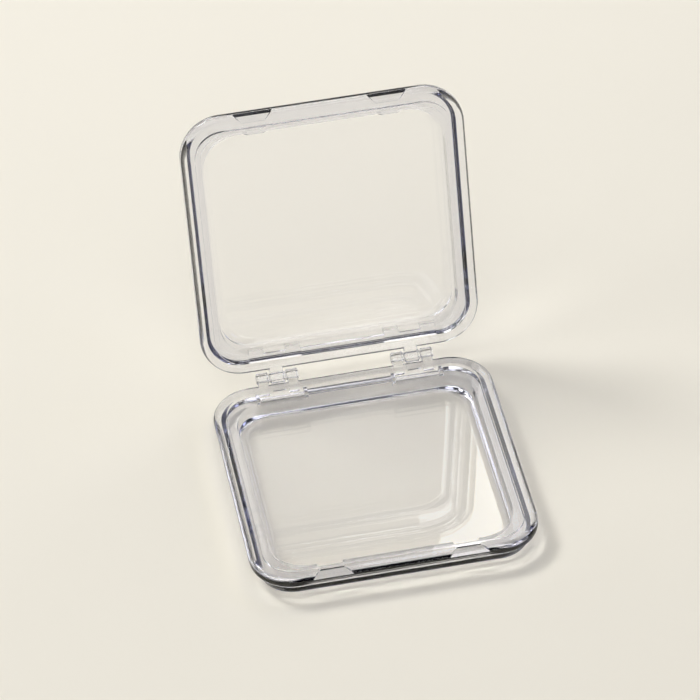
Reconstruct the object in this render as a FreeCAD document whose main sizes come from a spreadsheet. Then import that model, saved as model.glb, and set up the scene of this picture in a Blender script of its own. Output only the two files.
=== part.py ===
import FreeCAD, Part
import math
import os
import re
import Sketcher

# A clear hinged clamshell case: a shallow base tray and a lid tray of the same outline, joined at
# the back by two pinned hinges. It is modelled open, with the lid leaning back on its hinge stops.
# Millimetres, Z up. The origin is the centre of the flat underside of the base, +X runs along the
# hinge line and +Y points to the hinges.
#
# Each tray is drawn opening upwards with its rim face on its own XY plane and its centre on its own
# origin. The base has its hinges on its +Y edge and the lid on its -Y edge, as if laid out flat.

OUTPUT_FOLDER = "parts"
SHEET = "Dimensions"

# Driving dimensions: alias, value in millimetres or degrees, meaning.
DIMENSIONS = (
    ("case_width", 100.0, "rim to rim along the hinge line"),
    ("case_depth", 100.0, "rim to rim from the hinge edge to the thumb edge"),
    ("corner_radius", 15.0, "outer corners of the rims, seen from above"),
    ("base_height", 10.0, "base from its underside to its rim face"),
    ("lid_height", 10.0, "lid from its outer face to its rim face"),
    ("rim_width", 4.7, "flat rim face, from the outer edge to the step"),
    ("rim_height", 4.6, "outer band of the rim"),
    ("rim_round", 2.0, "rounding of the rim's two outer edges"),
    ("wall_setback", 2.2, "outer wall behind the outer face of the rim"),
    ("wall_draft", 6.0, "slope of the walls, in degrees"),
    ("foot_round", 2.6, "rounding where the outer wall meets the flat outside"),
    ("cavity_inset", 7.3, "cavity edge behind the outer edge of the rim"),
    ("cavity_corner", 13.0, "corners of the cavity, seen from above"),
    ("cavity_round", 3.4, "rounding where the cavity wall meets the floor"),
    ("floor_thickness", 2.2, "flat floor of the base and panel of the lid"),
    ("step_depth", 1.5, "step in the base that takes the lid's lip"),
    ("lip_height", 1.2, "lip of the lid that drops into the step"),
    ("lip_thickness", 1.8, "thickness of that lip"),
    ("lip_fit", 0.25, "clearance round the lip, the catches and the hinge blocks"),
    ("root_sink", 0.4, "how far an added piece is sunk into what carries it"),
    ("seam_gap", 0.1, "gap between the two rim faces when the case is shut"),
    ("notch_offset", 23.5, "centre of each nail notch from the middle of the thumb edge"),
    ("notch_width", 14.0, "nail notch at the outer edge"),
    ("notch_inner_width", 8.0, "nail notch at its inner end"),
    ("notch_reach", 3.2, "nail notch from the outer edge inwards"),
    ("notch_depth", 1.5, "nail notch below the rim face at the outer edge"),
    ("catch_width", 8.4, "catch tab at the rim face"),
    ("catch_tip_width", 5.6, "catch tab at its tip"),
    ("catch_height", 2.5, "catch tab above the lid's rim face"),
    ("hinge_spacing", 48.6, "centre to centre of the two hinges"),
    ("hinge_offset", 2.4, "pin centre line behind the outer face of the rims"),
    ("ear_width", 4.5, "each of the two ears on the base"),
    ("knuckle_width", 5.6, "knuckle on the lid between the ears"),
    ("knuckle_gap", 0.25, "side clearance between knuckle and ears"),
    ("barrel_radius", 2.1, "outside of the ears and the knuckle round the pin"),
    ("barrel_bevel", 0.5, "bevel round both ends of each ear and knuckle"),
    ("web_depth", 4.0, "how far the ear and knuckle webs run down the rim"),
    ("web_toe", 0.8, "how far the webs stand out from the rim at their foot"),
    ("web_angle", 30.0, "where the webs meet the barrel, below its middle, in degrees"),
    ("pin_radius", 1.0, "hinge pin"),
    ("pin_fit", 0.03, "radial clearance of the pin in the ears"),
    ("knuckle_fit", 0.06, "radial clearance of the pin in the knuckle"),
    ("stop_gap", 0.05, "gap between the stop heel and the rim at full opening"),
    ("heel_reach", 2.9, "stop heel below the pin centre line"),
    ("block_side", 1.6, "hinge block, past each end of the hinge"),
    ("block_reach", 9.4, "hinge block, from the outer edge of the rim inwards"),
    ("block_drop", 2.0, "hinge block's upright inner face"),
    ("slot_wall", 1.2, "wall left round the relief slot in the base's hinge block"),
    ("slot_depth", 2.6, "relief slot below the rim face"),
    ("lug_width", 5.2, "each of the two lugs on the lid beside the knuckle"),
    ("open_angle", 104.0, "lid against base at the hinge stops, in degrees"),
)

document = FreeCAD.newDocument("ClamshellCase")
sheet = document.addObject("Spreadsheet::Sheet", SHEET)
for row, (alias, value, meaning) in enumerate(DIMENSIONS, start=1):
    sheet.set(f"A{row}", alias)
    sheet.set(f"B{row}", str(value))
    sheet.setAlias(f"B{row}", alias)
    sheet.set(f"C{row}", meaning)
document.recompute()


def size(expression):
    """Write each alias in an expression as a reference to the sheet."""
    aliases = "|".join(alias for alias, _, _ in DIMENSIONS)
    return re.sub(rf"\b({aliases})\b", rf"{SHEET}.\1", expression)


def number(expression):
    """The present value of an expression of aliases."""
    result = sheet.evalExpression(size(expression))
    return float(getattr(result, "Value", result))


def bind(item, **properties):
    """Tie properties of a feature to expressions of aliases."""
    for path, expression in properties.items():
        item.setExpression(path.replace("__", "."), size(expression))


# Sketches

def new_sketch(body, name, role, offset="0"):
    """An empty sketch on one of the body's own planes, moved along the plane's normal."""
    plane = next(item for item in body.Origin.OriginFeatures if item.Role == role)
    sketch = body.newObject("Sketcher::SketchObject", f"{body.Name}{name}")
    sketch.AttachmentSupport = [(plane, "")]
    sketch.MapMode = "FlatFace"
    bind(sketch, AttachmentOffset__Base__z=offset)
    return sketch


def place_point(sketch, geometry, point, across, up):
    """Hold one point of the sketch at two expressions from its origin."""
    first = sketch.addConstraint(Sketcher.Constraint("DistanceX", -1, 1, geometry, point, number(across)))
    sketch.setExpression(f"Constraints[{first}]", size(across))
    second = sketch.addConstraint(Sketcher.Constraint("DistanceY", -1, 1, geometry, point, number(up)))
    sketch.setExpression(f"Constraints[{second}]", size(up))


def polygon(sketch, corners):
    """A closed outline through corners given as pairs of expressions."""
    points = [FreeCAD.Vector(number(across), number(up), 0) for across, up in corners]
    first = sketch.GeometryCount
    count = len(points)
    for index in range(count):
        sketch.addGeometry(Part.LineSegment(points[index], points[(index + 1) % count]))
    for index in range(count):
        following = first + (index + 1) % count
        sketch.addConstraint(Sketcher.Constraint("Coincident", first + index, 2, following, 1))
    for index, (across, up) in enumerate(corners):
        place_point(sketch, first + index, 1, across, up)


def rectangle(sketch, low_across, high_across, low_up, high_up):
    """An upright rectangle between four expressions."""
    polygon(sketch, ((low_across, low_up), (high_across, low_up), (high_across, high_up), (low_across, high_up)))


def circle(sketch, across, up, radius):
    """A circle whose centre and radius are expressions."""
    centre = FreeCAD.Vector(number(across), number(up), 0)
    index = sketch.addGeometry(Part.Circle(centre, FreeCAD.Vector(0, 0, 1), number(radius)))
    place_point(sketch, index, 3, across, up)
    held = sketch.addConstraint(Sketcher.Constraint("Radius", index, number(radius)))
    sketch.setExpression(f"Constraints[{held}]", size(radius))


def rounded_outline(sketch, inset, radius):
    """The case's outline moved inwards by inset, with its own corner radius, centred on the origin."""
    half_width = number(f"case_width / 2 - ({inset})")
    half_depth = number(f"case_depth / 2 - ({inset})")
    corner = number(radius)
    normal = FreeCAD.Vector(0, 0, 1)
    first = sketch.GeometryCount
    # The four straight sides, in turn: front, right, back and left.
    inner_width = half_width - corner
    inner_depth = half_depth - corner
    ends = (
        ((-inner_width, -half_depth), (inner_width, -half_depth)),
        ((half_width, -inner_depth), (half_width, inner_depth)),
        ((inner_width, half_depth), (-inner_width, half_depth)),
        ((-half_width, inner_depth), (-half_width, -inner_depth)),
    )
    for start, end in ends:
        sketch.addGeometry(Part.LineSegment(FreeCAD.Vector(*start, 0), FreeCAD.Vector(*end, 0)))
    # The corner after each side, a quarter circle.
    centres = ((1, -1, 270), (1, 1, 0), (-1, 1, 90), (-1, -1, 180))
    for across, up, angle in centres:
        centre = FreeCAD.Vector(across * inner_width, up * inner_depth, 0)
        turned = Part.Circle(centre, normal, corner)
        sketch.addGeometry(Part.ArcOfCircle(turned, math.radians(angle), math.radians(angle + 90)))
    for side in range(4):
        arc = first + 4 + side
        sketch.addConstraint(Sketcher.Constraint("Tangent", first + side, 2, arc, 1))
        sketch.addConstraint(Sketcher.Constraint("Tangent", arc, 2, first + (side + 1) % 4, 1))
    for side in range(4):
        sketch.addConstraint(Sketcher.Constraint("Vertical" if side % 2 else "Horizontal", first + side))
    for side in range(3):
        sketch.addConstraint(Sketcher.Constraint("Equal", first + 4 + side, first + 5 + side))
    sketch.addConstraint(Sketcher.Constraint("Symmetric", first + 4, 3, first + 6, 3, -1, 1))
    sizes = (
        (Sketcher.Constraint("Radius", first + 4, corner), radius),
        (Sketcher.Constraint("DistanceX", -1, 1, first + 1, 1, half_width), f"case_width / 2 - ({inset})"),
        (Sketcher.Constraint("DistanceY", -1, 1, first + 2, 1, half_depth), f"case_depth / 2 - ({inset})"),
    )
    for constraint, expression in sizes:
        held = sketch.addConstraint(constraint)
        sketch.setExpression(f"Constraints[{held}]", size(expression))


# Features

def extrude(body, kind, name, sketch, length, reverse=False, draft="0", middle=False):
    """A pad or pocket of a sketch."""
    feature = body.newObject(f"PartDesign::{kind}", f"{body.Name}{name}")
    feature.Profile = sketch
    feature.Reversed = reverse
    feature.Midplane = middle
    bind(feature, Length=length, TaperAngle=draft)
    sketch.Visibility = False
    document.recompute()
    return feature


def edge_names(shape, edges):
    """Names of the given edges in a shape."""
    return [f"Edge{index}" for index, edge in enumerate(shape.Edges, start=1)
            if any(edge.isSame(wanted) for wanted in edges)]


def level_faces(shape, height):
    """Flat horizontal faces at a height of the tray."""
    found = []
    for face in shape.Faces:
        box = face.BoundBox
        if abs(box.ZMin - height) < TOLERANCE and abs(box.ZMax - height) < TOLERANCE:
            found.append(face)
    return found


def round_edges(body, name, edges, radius):
    """A fillet on edges of the body's present tip."""
    before = body.Tip
    feature = body.newObject("PartDesign::Fillet", f"{body.Name}{name}")
    feature.Base = (before, edge_names(before.Shape, edges))
    bind(feature, Radius=radius)
    document.recompute()
    return feature


def mirror_across(body, name, originals):
    """The same features again on the other side of the middle plane."""
    plane = next(item for item in body.Origin.OriginFeatures if item.Role == "YZ_Plane")
    feature = body.newObject("PartDesign::Mirrored", f"{body.Name}{name}")
    feature.Originals = originals
    feature.MirrorPlane = (plane, [""])
    body.Tip = feature
    document.recompute()
    return feature


# How close two heights count as the same when a face or edge is looked up.
TOLERANCE = 0.001

# Places that several features share.
STEP_CORNER = "(corner_radius - rim_width)"
LIP_OUTER = "(rim_width + lip_fit)"
LIP_INNER = "(rim_width + lip_fit + lip_thickness)"
HINGE_HALF = "(ear_width + knuckle_gap + knuckle_width / 2)"
BLOCK_HALF = f"({HINGE_HALF} + block_side)"
HINGE_CENTRE = "(hinge_spacing / 2)"
AXIS_ACROSS = "(case_depth / 2 + hinge_offset)"
AXIS_HEIGHT = "(seam_gap / 2)"


def tray(name, height):
    """A shallow tray with a thick rim, opening upwards, its rim face on the XY plane."""
    body = document.addObject("PartDesign::Body", name)
    body.Label = name

    # The outer wall leans in towards the flat outside, and the rim stands out round it.
    wall = new_sketch(body, "WallSketch", "XY_Plane")
    rounded_outline(wall, "wall_setback", "corner_radius - wall_setback")
    extrude(body, "Pad", "Wall", wall, height, reverse=True, draft="0 - wall_draft")
    rim = new_sketch(body, "RimSketch", "XY_Plane")
    rounded_outline(rim, "0", "corner_radius")
    extrude(body, "Pad", "Rim", rim, "rim_height", reverse=True)

    cavity = new_sketch(body, "CavitySketch", "XY_Plane")
    rounded_outline(cavity, "cavity_inset", "cavity_corner")
    depth = f"{height} - floor_thickness"
    extrude(body, "Pocket", "Cavity", cavity, depth, draft="0 - wall_draft")

    shape = body.Tip.Shape
    floor = level_faces(shape, -number(depth))[0]
    round_edges(body, "CavityRound", floor.Edges, "cavity_round")
    shape = body.Tip.Shape
    outside = level_faces(shape, -number(height))[0]
    round_edges(body, "FootRound", outside.Edges, "foot_round")
    shape = body.Tip.Shape
    face = level_faces(shape, 0)[0]
    underside = level_faces(shape, -number("rim_height"))[0]
    round_edges(body, "RimRound", face.OuterWire.Edges + underside.OuterWire.Edges, "rim_round")
    return body


def nail_notch(body, side):
    """A bevelled notch in the thumb edge: widest and deepest at the outer edge, closing inwards."""
    # At its inner end the notch is only as deep as the seam.
    outer = new_sketch(body, "NotchOuter", "XZ_Plane", f"{side} * case_depth / 2")
    inner = new_sketch(body, "NotchInner", "XZ_Plane", f"{side} * (case_depth / 2 - notch_reach)")
    for sketch, width, depth in ((outer, "notch_width", "notch_depth"), (inner, "notch_inner_width", "seam_gap")):
        low = f"notch_offset - {width} / 2"
        high = f"notch_offset + {width} / 2"
        rectangle(sketch, low, high, f"0 - {depth}", depth)
    feature = body.newObject("PartDesign::SubtractiveLoft", f"{body.Name}Notch")
    feature.Profile = outer
    feature.Sections = [inner]
    feature.Ruled = True
    document.recompute()
    return feature


def webbed_barrel(body, name, side, centre, width):
    """A barrel round the pin line with bevelled ends, and a web that runs into the rim's outer face."""
    pin_line = f"{side} * {AXIS_ACROSS}"
    near, far = f"{centre} - {width} / 2", f"{centre} + {width} / 2"
    outside = f"{pin_line} + barrel_radius"
    profile = new_sketch(body, f"{name}BarrelSketch", "XY_Plane", AXIS_HEIGHT)
    polygon(profile, (
        (near, pin_line),
        (far, pin_line),
        (far, f"{outside} - barrel_bevel"),
        (f"{far} - barrel_bevel", outside),
        (f"{near} + barrel_bevel", outside),
        (near, f"{outside} - barrel_bevel"),
    ))
    barrel = body.newObject("PartDesign::Revolution", f"{body.Name}{name}Barrel")
    barrel.Profile = profile
    barrel.ReferenceAxis = (profile, ["Edge1"])
    barrel.Angle = 360
    profile.Visibility = False
    document.recompute()
    # The web lies below the rim face, so the other half can swing past it.
    rooted = f"{side} * (case_depth / 2 - rim_round)"
    web_sketch = new_sketch(body, f"{name}WebSketch", "YZ_Plane", centre)
    polygon(web_sketch, (
        (rooted, "0 - seam_gap"),
        (rooted, "0 - web_depth"),
        (f"{side} * (case_depth / 2 + web_toe)", "0 - web_depth"),
        (f"{side} * ({AXIS_ACROSS} + barrel_radius * cos(web_angle))", "0 - barrel_radius * sin(web_angle)"),
        (pin_line, "0 - seam_gap"),
    ))
    web = extrude(body, "Pad", f"{name}Web", web_sketch, f"{width} - 2 * barrel_bevel", middle=True)
    return [barrel, web]


def hinge_block(body, name, side, centre, width):
    """A block that widens the rim inwards beside the hinge and dies away into the cavity wall."""
    sketch = new_sketch(body, f"{name}Sketch", "YZ_Plane", centre)
    rooted = f"{side} * (case_depth / 2 - rim_width + root_sink)"
    reach = f"{side} * (case_depth / 2 - block_reach)"
    wall = f"{side} * (case_depth / 2 - cavity_inset)"
    foot = "0 - (block_drop + block_reach - cavity_inset)"
    polygon(sketch, ((rooted, "0"), (reach, "0"), (reach, "0 - block_drop"), (wall, foot), (rooted, foot)))
    return extrude(body, "Pad", name, sketch, width, middle=True)


def pin_bore(body, name, side, fit):
    """The hole for the pin through the whole hinge."""
    sketch = new_sketch(body, f"{name}BoreSketch", "YZ_Plane", HINGE_CENTRE)
    circle(sketch, f"{side} * {AXIS_ACROSS}", AXIS_HEIGHT, f"pin_radius + {fit}")
    return extrude(body, "Pocket", f"{name}Bore", sketch, f"2 * {HINGE_HALF} + 2 * knuckle_gap", middle=True)


def build_base():
    """The base: a tray with a step round its cavity, two pairs of ears and pockets for the catches."""
    body = tray("base", "base_height")
    step = new_sketch(body, "StepSketch", "XY_Plane")
    rounded_outline(step, "rim_width", STEP_CORNER)
    extrude(body, "Pocket", "Step", step, "step_depth")

    # Right half: ears, bore, hinge block, catch pocket and nail notch, then all again on the left.
    features = []
    ear_centre = f"{HINGE_HALF} - ear_width / 2"
    features += webbed_barrel(body, "OuterEar", 1, f"{HINGE_CENTRE} + {ear_centre}", "ear_width")
    features += webbed_barrel(body, "InnerEar", 1, f"{HINGE_CENTRE} - ({ear_centre})", "ear_width")
    features.append(pin_bore(body, "Ear", 1, "pin_fit"))

    features.append(hinge_block(body, "Block", 1, HINGE_CENTRE, f"2 * {BLOCK_HALF}"))
    slot = new_sketch(body, "SlotSketch", "XY_Plane")
    half_slot = f"({BLOCK_HALF} - slot_wall)"
    rectangle(slot, f"{HINGE_CENTRE} - {half_slot}", f"{HINGE_CENTRE} + {half_slot}",
              "case_depth / 2 - block_reach + slot_wall", "case_depth / 2 - rim_width")
    features.append(extrude(body, "Pocket", "Slot", slot, "slot_depth"))

    pocket = new_sketch(body, "CatchPocketSketch", "XY_Plane")
    rectangle(pocket, "notch_offset - catch_width / 2 - lip_fit", "notch_offset + catch_width / 2 + lip_fit",
              "0 - (case_depth / 2 - rim_width)", "0 - (case_depth / 2 - cavity_inset - wall_setback)")
    features.append(extrude(body, "Pocket", "CatchPocket", pocket, "catch_height + lip_fit"))
    features.append(nail_notch(body, 1))
    mirror_across(body, "Left", features)
    bind(body, Placement__Base__z="base_height")
    document.recompute()
    return body


def build_lid():
    """The lid: a tray with a lip that drops into the base's step, two knuckles and two catch tabs."""
    body = tray("lid", "lid_height")
    lip = new_sketch(body, "LipSketch", "XY_Plane")
    rounded_outline(lip, LIP_OUTER, f"corner_radius - {LIP_OUTER}")
    rounded_outline(lip, LIP_INNER, f"corner_radius - {LIP_INNER}")
    extrude(body, "Pad", "Lip", lip, "lip_height")

    features = []
    # The lip stops short of each hinge block.
    gap = new_sketch(body, "LipGapSketch", "XY_Plane")
    half_gap = f"({BLOCK_HALF} + lip_fit)"
    rectangle(gap, f"{HINGE_CENTRE} - {half_gap}", f"{HINGE_CENTRE} + {half_gap}",
              "0 - (case_depth / 2 - rim_width)", "0 - (case_depth / 2 - cavity_inset)")
    features.append(extrude(body, "Pocket", "LipGap", gap, "lip_height", reverse=True))
    features += webbed_barrel(body, "Knuckle", -1, HINGE_CENTRE, "knuckle_width")
    lug_centre = f"({BLOCK_HALF} - lug_width / 2)"
    features.append(hinge_block(body, "OuterLug", -1, f"{HINGE_CENTRE} + {lug_centre}", "lug_width"))
    features.append(hinge_block(body, "InnerLug", -1, f"{HINGE_CENTRE} - {lug_centre}", "lug_width"))

    # The stop heel is drawn as it stands at full opening, flat against the base's rim.
    heel = new_sketch(body, "HeelSketch", "YZ_Plane", HINGE_CENTRE)
    bind(heel, AttachmentOffset__Base__x=f"0 - {AXIS_ACROSS}", AttachmentOffset__Base__y=AXIS_HEIGHT,
         AttachmentOffset__Rotation__Angle="open_angle - 180")
    rectangle(heel, "stop_gap - hinge_offset", "0", "0 - heel_reach", "0")
    features.append(extrude(body, "Pad", "Heel", heel, "knuckle_width - 2 * barrel_bevel", middle=True))
    features.append(pin_bore(body, "Knuckle", -1, "knuckle_fit"))

    # Each catch tab is a bevelled tongue in line with the lip.
    tab = new_sketch(body, "CatchSketch", "XZ_Plane", f"{LIP_OUTER} - case_depth / 2")
    polygon(tab, (
        ("notch_offset - catch_width / 2", "0 - root_sink"),
        ("notch_offset + catch_width / 2", "0 - root_sink"),
        ("notch_offset + catch_width / 2", "lip_height"),
        ("notch_offset + catch_tip_width / 2", "catch_height"),
        ("notch_offset - catch_tip_width / 2", "catch_height"),
        ("notch_offset - catch_width / 2", "lip_height"),
    ))
    features.append(extrude(body, "Pad", "Catch", tab, "lip_thickness"))
    features.append(nail_notch(body, -1))
    mirror_across(body, "Left", features)

    # The lid swings about the pin line from flat out to its stop.
    swing = "(180 - open_angle)"
    body.Placement = FreeCAD.Placement(FreeCAD.Vector(), FreeCAD.Rotation(FreeCAD.Vector(1, 0, 0), 1))
    bind(body, Placement__Rotation__Angle=swing,
         Placement__Base__y=f"{AXIS_ACROSS} * (1 + cos{swing}) + {AXIS_HEIGHT} * sin{swing}",
         Placement__Base__z=f"base_height + {AXIS_HEIGHT} * (1 - cos{swing}) + {AXIS_ACROSS} * sin{swing}")
    document.recompute()
    return body


def build_pin(name, side):
    """A hinge pin, as long as the ears and knuckle together."""
    pin = document.addObject("Part::Cylinder", name)
    pin.Label = name
    bind(pin, Radius="pin_radius", Height=f"2 * {HINGE_HALF}")
    pin.Placement = FreeCAD.Placement(FreeCAD.Vector(), FreeCAD.Rotation(FreeCAD.Vector(0, 1, 0), 90))
    bind(pin, Placement__Base__x=f"{side} * {HINGE_CENTRE} - {HINGE_HALF}", Placement__Base__y=AXIS_ACROSS,
         Placement__Base__z=f"base_height + {AXIS_HEIGHT}")
    return pin


pieces = [build_base(), build_lid(), build_pin("hinge_pin_left", -1), build_pin("hinge_pin_right", 1)]
document.recompute()

for item in document.Objects:
    for state in ("Invalid", "Error"):
        if state in item.State:
            raise RuntimeError(f"{item.Name} is {state}")
for piece in pieces:
    if piece.Shape.isNull() or not piece.Shape.isValid():
        raise RuntimeError(f"{piece.Label} has no valid shape")
    if len(piece.Shape.Solids) != 1:
        raise RuntimeError(f"{piece.Label} is not one solid")

os.makedirs(OUTPUT_FOLDER, exist_ok=True)
for piece in pieces:
    piece.Shape.exportStep(f"{OUTPUT_FOLDER}/{piece.Label}.step")
    box = piece.Shape.BoundBox
    print(piece.Label, "volume", round(piece.Shape.Volume, 1), "from",
          [round(value, 2) for value in (box.XMin, box.YMin, box.ZMin)],
          "to", [round(value, 2) for value in (box.XMax, box.YMax, box.ZMax)])
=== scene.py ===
"""A clear hinged clamshell case, standing open on a pale studio floor.

The case stands with the centre of its underside on the origin, +X along the hinge line and +Y
towards the hinges. Sizes named as millimetres are turned to metres where they are used.
"""

import logging
import math
from dataclasses import dataclass
from enum import Enum

import bmesh
import bpy
from mathutils import Matrix, Vector

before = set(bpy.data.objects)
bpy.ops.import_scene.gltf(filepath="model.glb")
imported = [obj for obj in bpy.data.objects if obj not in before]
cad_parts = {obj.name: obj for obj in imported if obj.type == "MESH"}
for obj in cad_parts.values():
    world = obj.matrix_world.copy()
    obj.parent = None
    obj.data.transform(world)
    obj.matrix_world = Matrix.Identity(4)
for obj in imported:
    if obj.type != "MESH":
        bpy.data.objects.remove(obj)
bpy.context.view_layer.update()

MM = 0.001
# An area lamp with this many watts for each square metre looks as bright as white.
WATTS_FOR_WHITE = 4.0
# Light turns round many times inside the thick rims before it leaves them.
LIGHT_TURNS = 24
# A ray still caught after this many mirror turns is lost, which draws the rims' dark lines.
MIRROR_TURNS = 9

log = logging.getLogger("clamshell_case")


def linear(shade: str, strength: float = 1.0) -> tuple[float, float, float, float]:
    """Turn an sRGB hex colour to linear light.

    Args:
        shade: The colour as "#RRGGBB".
        strength: A factor on all three channels.

    Returns:
        Linear red, green and blue, and an alpha of one.
    """
    channels = []
    for start in (1, 3, 5):
        value = int(shade[start:start + 2], 16) / 255
        value = value / 12.92 if value <= 0.04045 else ((value + 0.055) / 1.055) ** 2.4
        channels.append(value * strength)
    return (*channels, 1.0)


def add_node(tree: bpy.types.NodeTree, kind: str, settings: dict | None = None,
             **inputs: object) -> bpy.types.Node:
    """Add one shader node with its settings, values and links.

    Args:
        tree: The node tree that takes it.
        kind: The node's type name.
        settings: Attributes of the node, such as its operation.
        **inputs: A value or an output socket for each input. Underscores stand for spaces, and
            a name such as at_1 is the input at that place.

    Returns:
        The new node.
    """
    node = tree.nodes.new(kind)
    for name, value in (settings or {}).items():
        setattr(node, name, value)
    for name, value in inputs.items():
        key = int(name[3:]) if name.startswith("at_") else name.replace("_", " ")
        if isinstance(value, bpy.types.NodeSocket):
            tree.links.new(value, node.inputs[key])
        else:
            node.inputs[key].default_value = value
    return node


def new_tree(owner: bpy.types.ID) -> bpy.types.NodeTree:
    """Give a material or world an empty node tree.

    Args:
        owner: The material or world.

    Returns:
        Its node tree.
    """
    owner.use_nodes = True
    owner.node_tree.nodes.clear()
    return owner.node_tree


def toward(azimuth: float, elevation: float) -> Vector:
    """Turn a bearing to a direction.

    Args:
        azimuth: Degrees from +Y, behind the case, towards +X.
        elevation: Degrees above the floor.

    Returns:
        The unit vector to that bearing.
    """
    azimuth, elevation = math.radians(azimuth), math.radians(elevation)
    return Vector((math.sin(azimuth) * math.cos(elevation), math.cos(azimuth) * math.cos(elevation),
                   math.sin(elevation)))


class Making(Enum):
    """How a clear piece was made: the stretch of the marks on it, along X, Y and Z."""

    MOULDED = (1.0, 1.0, 1.0)
    DRAWN = (0.05, 1.0, 1.0)


@dataclass(frozen=True)
class ClearAcrylic:
    """Clear acrylic with the faint waviness of its making and a few handling scuffs.

    Its faces are never quite flat, so straight lines seen through them waver a little, and the
    scuffs blur a highlight here and there. A long path through the plastic takes out some of the
    light, so the thin panels stay clear and the thick rims turn lavender grey. Lengths are in
    millimetres.
    """

    name: str
    making: Making
    colour: str = "#FFFFFF"
    ior: float = 1.49
    gloss: float = 0.0
    depth_colour: str = "#7078B0"
    depth_density: float = 20.0
    # Flow lines and sink marks of the mould.
    wave_length: float = 14.0
    wave_height: float = 0.01
    wave_detail: float = 1.0
    # Hairline scuffs are too fine to show, so they are drawn as blurred patches this wide.
    scuff_length: float = 5.0
    scuff_detail: float = 5.0
    scuff_breakup: float = 0.7
    scuff_share: float = 0.62
    scuff_blur: float = 0.035

    def material(self) -> bpy.types.Material:
        """Make the material.

        Returns:
            The new material.
        """
        made = bpy.data.materials.new(self.name)
        tree = new_tree(made)
        place = add_node(tree, "ShaderNodeTexCoord").outputs["Object"]
        along = add_node(tree, "ShaderNodeVectorMath", {"operation": "MULTIPLY"}, at_0=place,
                         at_1=self.making.value).outputs["Vector"]
        waves = add_node(tree, "ShaderNodeTexNoise", Vector=along,
                         Scale=1 / (self.wave_length * MM), Detail=self.wave_detail)
        bump = add_node(tree, "ShaderNodeBump", Strength=1.0, Distance=self.wave_height * MM,
                        Height=waves.outputs[0])
        scuffs = add_node(tree, "ShaderNodeTexNoise", Vector=along,
                          Scale=1 / (self.scuff_length * MM), Detail=self.scuff_detail,
                          Roughness=self.scuff_breakup)
        blur = add_node(tree, "ShaderNodeMapRange", {"interpolation_type": "SMOOTHSTEP"},
                        Value=scuffs.outputs[0], From_Min=self.scuff_share, From_Max=1.0,
                        To_Min=self.gloss, To_Max=self.scuff_blur)
        shader = add_node(tree, "ShaderNodeBsdfPrincipled", {"distribution": "GGX"},
                          Base_Color=linear(self.colour), Metallic=0.0,
                          Roughness=blur.outputs["Result"], IOR=self.ior,
                          Transmission_Weight=1.0, Normal=bump.outputs["Normal"])
        depth = add_node(tree, "ShaderNodeVolumeAbsorption", Color=linear(self.depth_colour),
                         Density=self.depth_density)
        add_node(tree, "ShaderNodeOutputMaterial", Surface=shader.outputs["BSDF"],
                 Volume=depth.outputs["Volume"])
        return made


@dataclass(frozen=True)
class PaintedBoard:
    """Board rolled with matt emulsion paint: it keeps soft shadows and has next to no gloss."""

    name: str = "painted_board"
    shade: str = "#EFEADB"
    roughness: float = 0.9
    gloss: float = 0.1

    def material(self) -> bpy.types.Material:
        """Make the material.

        Returns:
            The new material.
        """
        made = bpy.data.materials.new(self.name)
        tree = new_tree(made)
        shader = add_node(tree, "ShaderNodeBsdfPrincipled", Base_Color=linear(self.shade),
                          Roughness=self.roughness, Specular_IOR_Level=self.gloss)
        add_node(tree, "ShaderNodeOutputMaterial", Surface=shader.outputs["BSDF"])
        return made


def dress_node(name: str, made: bpy.types.Material) -> None:
    """Put one material on a piece of the case.

    Args:
        name: The piece's node.
        made: Its material.
    """
    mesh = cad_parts[name].data
    mesh.materials.clear()
    mesh.materials.append(made)
    log.info("%s in %s", name, made.name)


@dataclass(frozen=True)
class Tray:
    """One half of the case, moulded in one piece."""

    node: str
    finish: ClearAcrylic

    def dress(self) -> None:
        """Give the half its finish."""
        dress_node(self.node, self.finish.material())


@dataclass(frozen=True)
class HingePins:
    """The two plain rods on which the lid turns, with the fine draw lines of rod along them."""

    finish: ClearAcrylic = ClearAcrylic("clear_acrylic_drawn_rod", Making.DRAWN, wave_length=2.0)
    nodes: tuple[str, ...] = ("hinge_pin_left", "hinge_pin_right")

    def dress(self) -> None:
        """Give both rods their finish."""
        made = self.finish.material()
        for node in self.nodes:
            dress_node(node, made)


@dataclass(frozen=True)
class Case:
    """The whole case: base, lid and hinge pins."""

    base: Tray = Tray("base", ClearAcrylic("clear_acrylic_base_moulding", Making.MOULDED))
    lid: Tray = Tray("lid", ClearAcrylic("clear_acrylic_lid_moulding", Making.MOULDED))
    pins: HingePins = HingePins()

    def dress(self) -> None:
        """Give every piece its finish."""
        self.base.dress()
        self.lid.dress()
        self.pins.dress()


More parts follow.
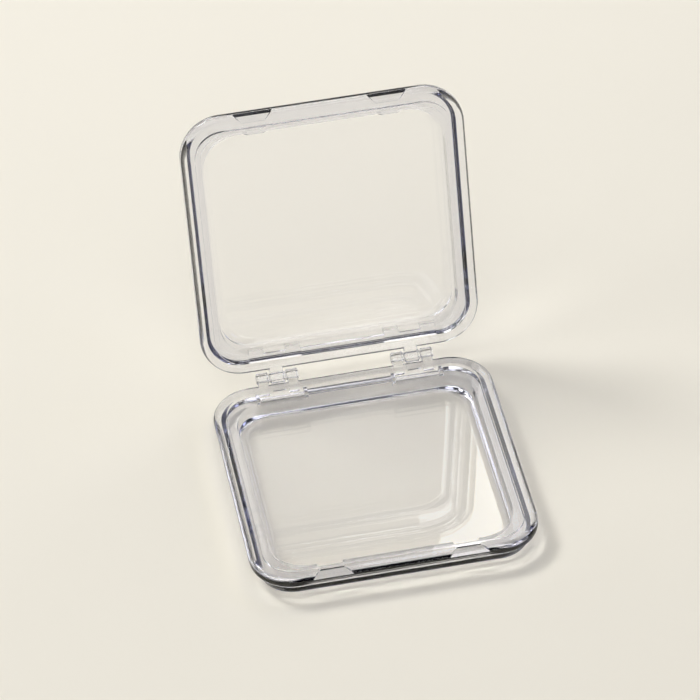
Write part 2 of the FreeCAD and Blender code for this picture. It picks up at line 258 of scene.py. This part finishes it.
@dataclass(frozen=True)
class Camera:
    """The camera at the photograph's viewing angle. Angles in degrees, lengths in millimetres."""

    azimuth: float = -9.13
    elevation: float = 41.36
    roll: float = -2.86
    distance: float = 1500.0
    target: tuple[float, float, float] = (3.75, 62.26, 10.0)
    focal_pixels: float = 4207.0
    frame_pixels: float = 700.0
    centre_pixels: tuple[float, float] = (349.5, 346.5)
    sensor: float = 36.0
    nearest: float = 10.0
    farthest: float = 50000.0

    def build(self) -> None:
        """Make the camera and use it."""
        azimuth, elevation = math.radians(self.azimuth), math.radians(self.elevation)
        back = Vector((math.sin(azimuth) * math.cos(elevation),
                       -math.cos(azimuth) * math.cos(elevation), math.sin(elevation)))
        right = Vector((math.cos(azimuth), math.sin(azimuth), 0))
        up = back.cross(right)
        turn = Matrix.Rotation(math.radians(self.roll), 3, back)
        right, up = turn @ right, turn @ up
        place = Vector(self.target) * MM + back * self.distance * MM
        data = bpy.data.cameras.new("camera")
        data.lens = self.focal_pixels / self.frame_pixels * self.sensor
        data.sensor_width = self.sensor
        data.shift_x = (self.frame_pixels / 2 - self.centre_pixels[0]) / self.frame_pixels
        data.shift_y = (self.centre_pixels[1] - self.frame_pixels / 2) / self.frame_pixels
        data.clip_start, data.clip_end = self.nearest * MM, self.farthest * MM
        camera = bpy.data.objects.new("camera", data)
        camera.matrix_world = Matrix((
            (right.x, up.x, back.x, place.x),
            (right.y, up.y, back.y, place.y),
            (right.z, up.z, back.z, place.z),
            (0, 0, 0, 1),
        ))
        bpy.context.scene.collection.objects.link(camera)
        bpy.context.scene.camera = camera


@dataclass(frozen=True)
class Screen:
    """A round lit screen far off, which the plastic shows as a bright line. Angles in degrees."""

    azimuth: float
    elevation: float
    half_width: float
    edge: float
    shade: str
    strength: float


@dataclass(frozen=True)
class Softbox:
    """A rectangular lamp. Bearing in degrees, lengths in metres, brightness as white is 1."""

    name: str
    azimuth: float
    elevation: float
    distance: float
    width: float
    height: float
    brightness: float
    shade: str = "#FFFFFF"

    def build(self, aim: Vector) -> None:
        """Hang the lamp.

        Args:
            aim: The point that it faces.
        """
        data = bpy.data.lights.new(self.name, "AREA")
        data.shape = "RECTANGLE"
        data.size, data.size_y = self.width, self.height
        data.energy = self.brightness * WATTS_FOR_WHITE * self.width * self.height
        data.color = linear(self.shade)[:3]
        lamp = bpy.data.objects.new(self.name, data)
        lamp.location = aim + toward(self.azimuth, self.elevation) * self.distance
        lamp.rotation_euler = (aim - lamp.location).to_track_quat("-Z", "Y").to_euler()
        bpy.context.scene.collection.objects.link(lamp)
        log.info("lamp %s", self.name)


@dataclass(frozen=True)
class Studio:
    """A pale floor, soft lamps, and a dark room with lit screens round them. Lengths in metres."""

    board: PaintedBoard = PaintedBoard()
    floor_half: float = 3.0
    floor_gap: float = 0.0002
    # The pale horizon turns to the dark room between these two heights of a direction.
    horizon: str = "#ECE8DC"
    horizon_top: float = 0.02
    room: str = "#14182A"
    room_foot: float = 0.06
    aim: tuple[float, float, float] = (0.0, 0.03, 0.03)
    # The window is what the base's floor mirrors on its right, and the strips edge the rims.
    lamps: tuple[Softbox, ...] = (
        Softbox("key", 312, 48, 2.6, 0.72, 0.72, 14.0),
        Softbox("window", 28.4, 45, 1.3, 0.52, 0.45, 1.8),
        Softbox("left_strip", 322, 22, 1.4, 0.06, 0.3, 4.7),
        Softbox("right_strip", 38, 22, 1.4, 0.06, 0.3, 4.7, "#E4E8FF"),
        Softbox("top_strip", 18, 70, 1.4, 0.08, 0.4, 4.0),
    )
    # Above the camera, behind the case, low in front, at both sides, and low all round.
    screens: tuple[Screen, ...] = (
        Screen(200, 62, 20, 3, "#FFFFFF", 2.1),
        Screen(2, 42, 18, 4, "#DDD8CC", 1.7),
        Screen(186, 32, 10, 3, "#EDEFFF", 1.4),
        Screen(85, 35, 12, 2, "#98A0E0", 1.3),
        Screen(265, 35, 12, 2, "#FFFFFF", 2.4),
        Screen(232, 22, 9, 2, "#FFFFFF", 2.6),
        Screen(128, 22, 9, 2, "#C9CEFF", 2.0),
        Screen(352, 14, 6, 2, "#FFFFFF", 2.6),
        Screen(300, 12, 8, 1, "#FFFFFF", 2.6),
        Screen(60, 12, 8, 1, "#FFFFFF", 2.6),
        Screen(165, 12, 8, 1, "#FFFFFF", 2.6),
        Screen(195, 12, 8, 1, "#FFFFFF", 2.6),
    )

    def build(self) -> None:
        """Make the floor, the lamps and the room."""
        self.build_floor()
        for lamp in self.lamps:
            lamp.build(Vector(self.aim))
        self.build_room()

    def build_floor(self) -> None:
        """Lay the board on which the case stands."""
        mesh = bpy.data.meshes.new("floor")
        maker = bmesh.new()
        bmesh.ops.create_grid(maker, x_segments=1, y_segments=1, size=self.floor_half,
                              matrix=Matrix.Translation((0, 0, -self.floor_gap)))
        maker.to_mesh(mesh)
        maker.free()
        mesh.materials.append(self.board.material())
        floor = bpy.data.objects.new("floor", mesh)
        bpy.context.scene.collection.objects.link(floor)
        log.info("floor in %s", self.board.name)

    def build_room(self) -> None:
        """Make the world: the horizon, the dark room above it and the screens in it."""
        world = bpy.data.worlds.new("studio")
        bpy.context.scene.world = world
        tree = new_tree(world)
        direction = add_node(tree, "ShaderNodeTexCoord").outputs["Generated"]
        split = add_node(tree, "ShaderNodeSeparateXYZ", Vector=direction)
        ramp = add_node(tree, "ShaderNodeValToRGB", Fac=split.outputs["Z"])
        stops = ramp.color_ramp.elements
        stops[0].position, stops[0].color = self.horizon_top, linear(self.horizon)
        stops[1].position, stops[1].color = self.room_foot, linear(self.room)
        colour = ramp.outputs["Color"]
        for screen in self.screens:
            near = add_node(tree, "ShaderNodeVectorMath", {"operation": "DOT_PRODUCT"},
                            at_0=direction, at_1=toward(screen.azimuth, screen.elevation))
            share = add_node(tree, "ShaderNodeMapRange", {"interpolation_type": "SMOOTHSTEP"},
                             Value=near.outputs["Value"],
                             From_Min=math.cos(math.radians(screen.half_width + screen.edge)),
                             From_Max=math.cos(math.radians(screen.half_width)))
            mixed = add_node(tree, "ShaderNodeMix", {"data_type": "RGBA"},
                             at_0=share.outputs["Result"], at_6=colour,
                             at_7=linear(screen.shade, screen.strength))
            colour = mixed.outputs[2]
        background = add_node(tree, "ShaderNodeBackground", Color=colour, Strength=1.0)
        add_node(tree, "ShaderNodeOutputWorld", Surface=background.outputs["Background"])
        log.info("room with %d screens", len(self.screens))


def main() -> None:
    """Build the camera, dress the case, then build the studio round it."""
    logging.basicConfig(level=logging.INFO, format="%(name)s: %(message)s")
    scene = bpy.context.scene
    scene.view_settings.view_transform = "Standard"
    scene.cycles.max_bounces = LIGHT_TURNS
    scene.cycles.glossy_bounces = MIRROR_TURNS
    scene.cycles.transmission_bounces = LIGHT_TURNS
    scene.cycles.blur_glossy = 0.0
    Camera().build()
    Case().dress()
    Studio().build()


if __name__ == "__main__":
    main()
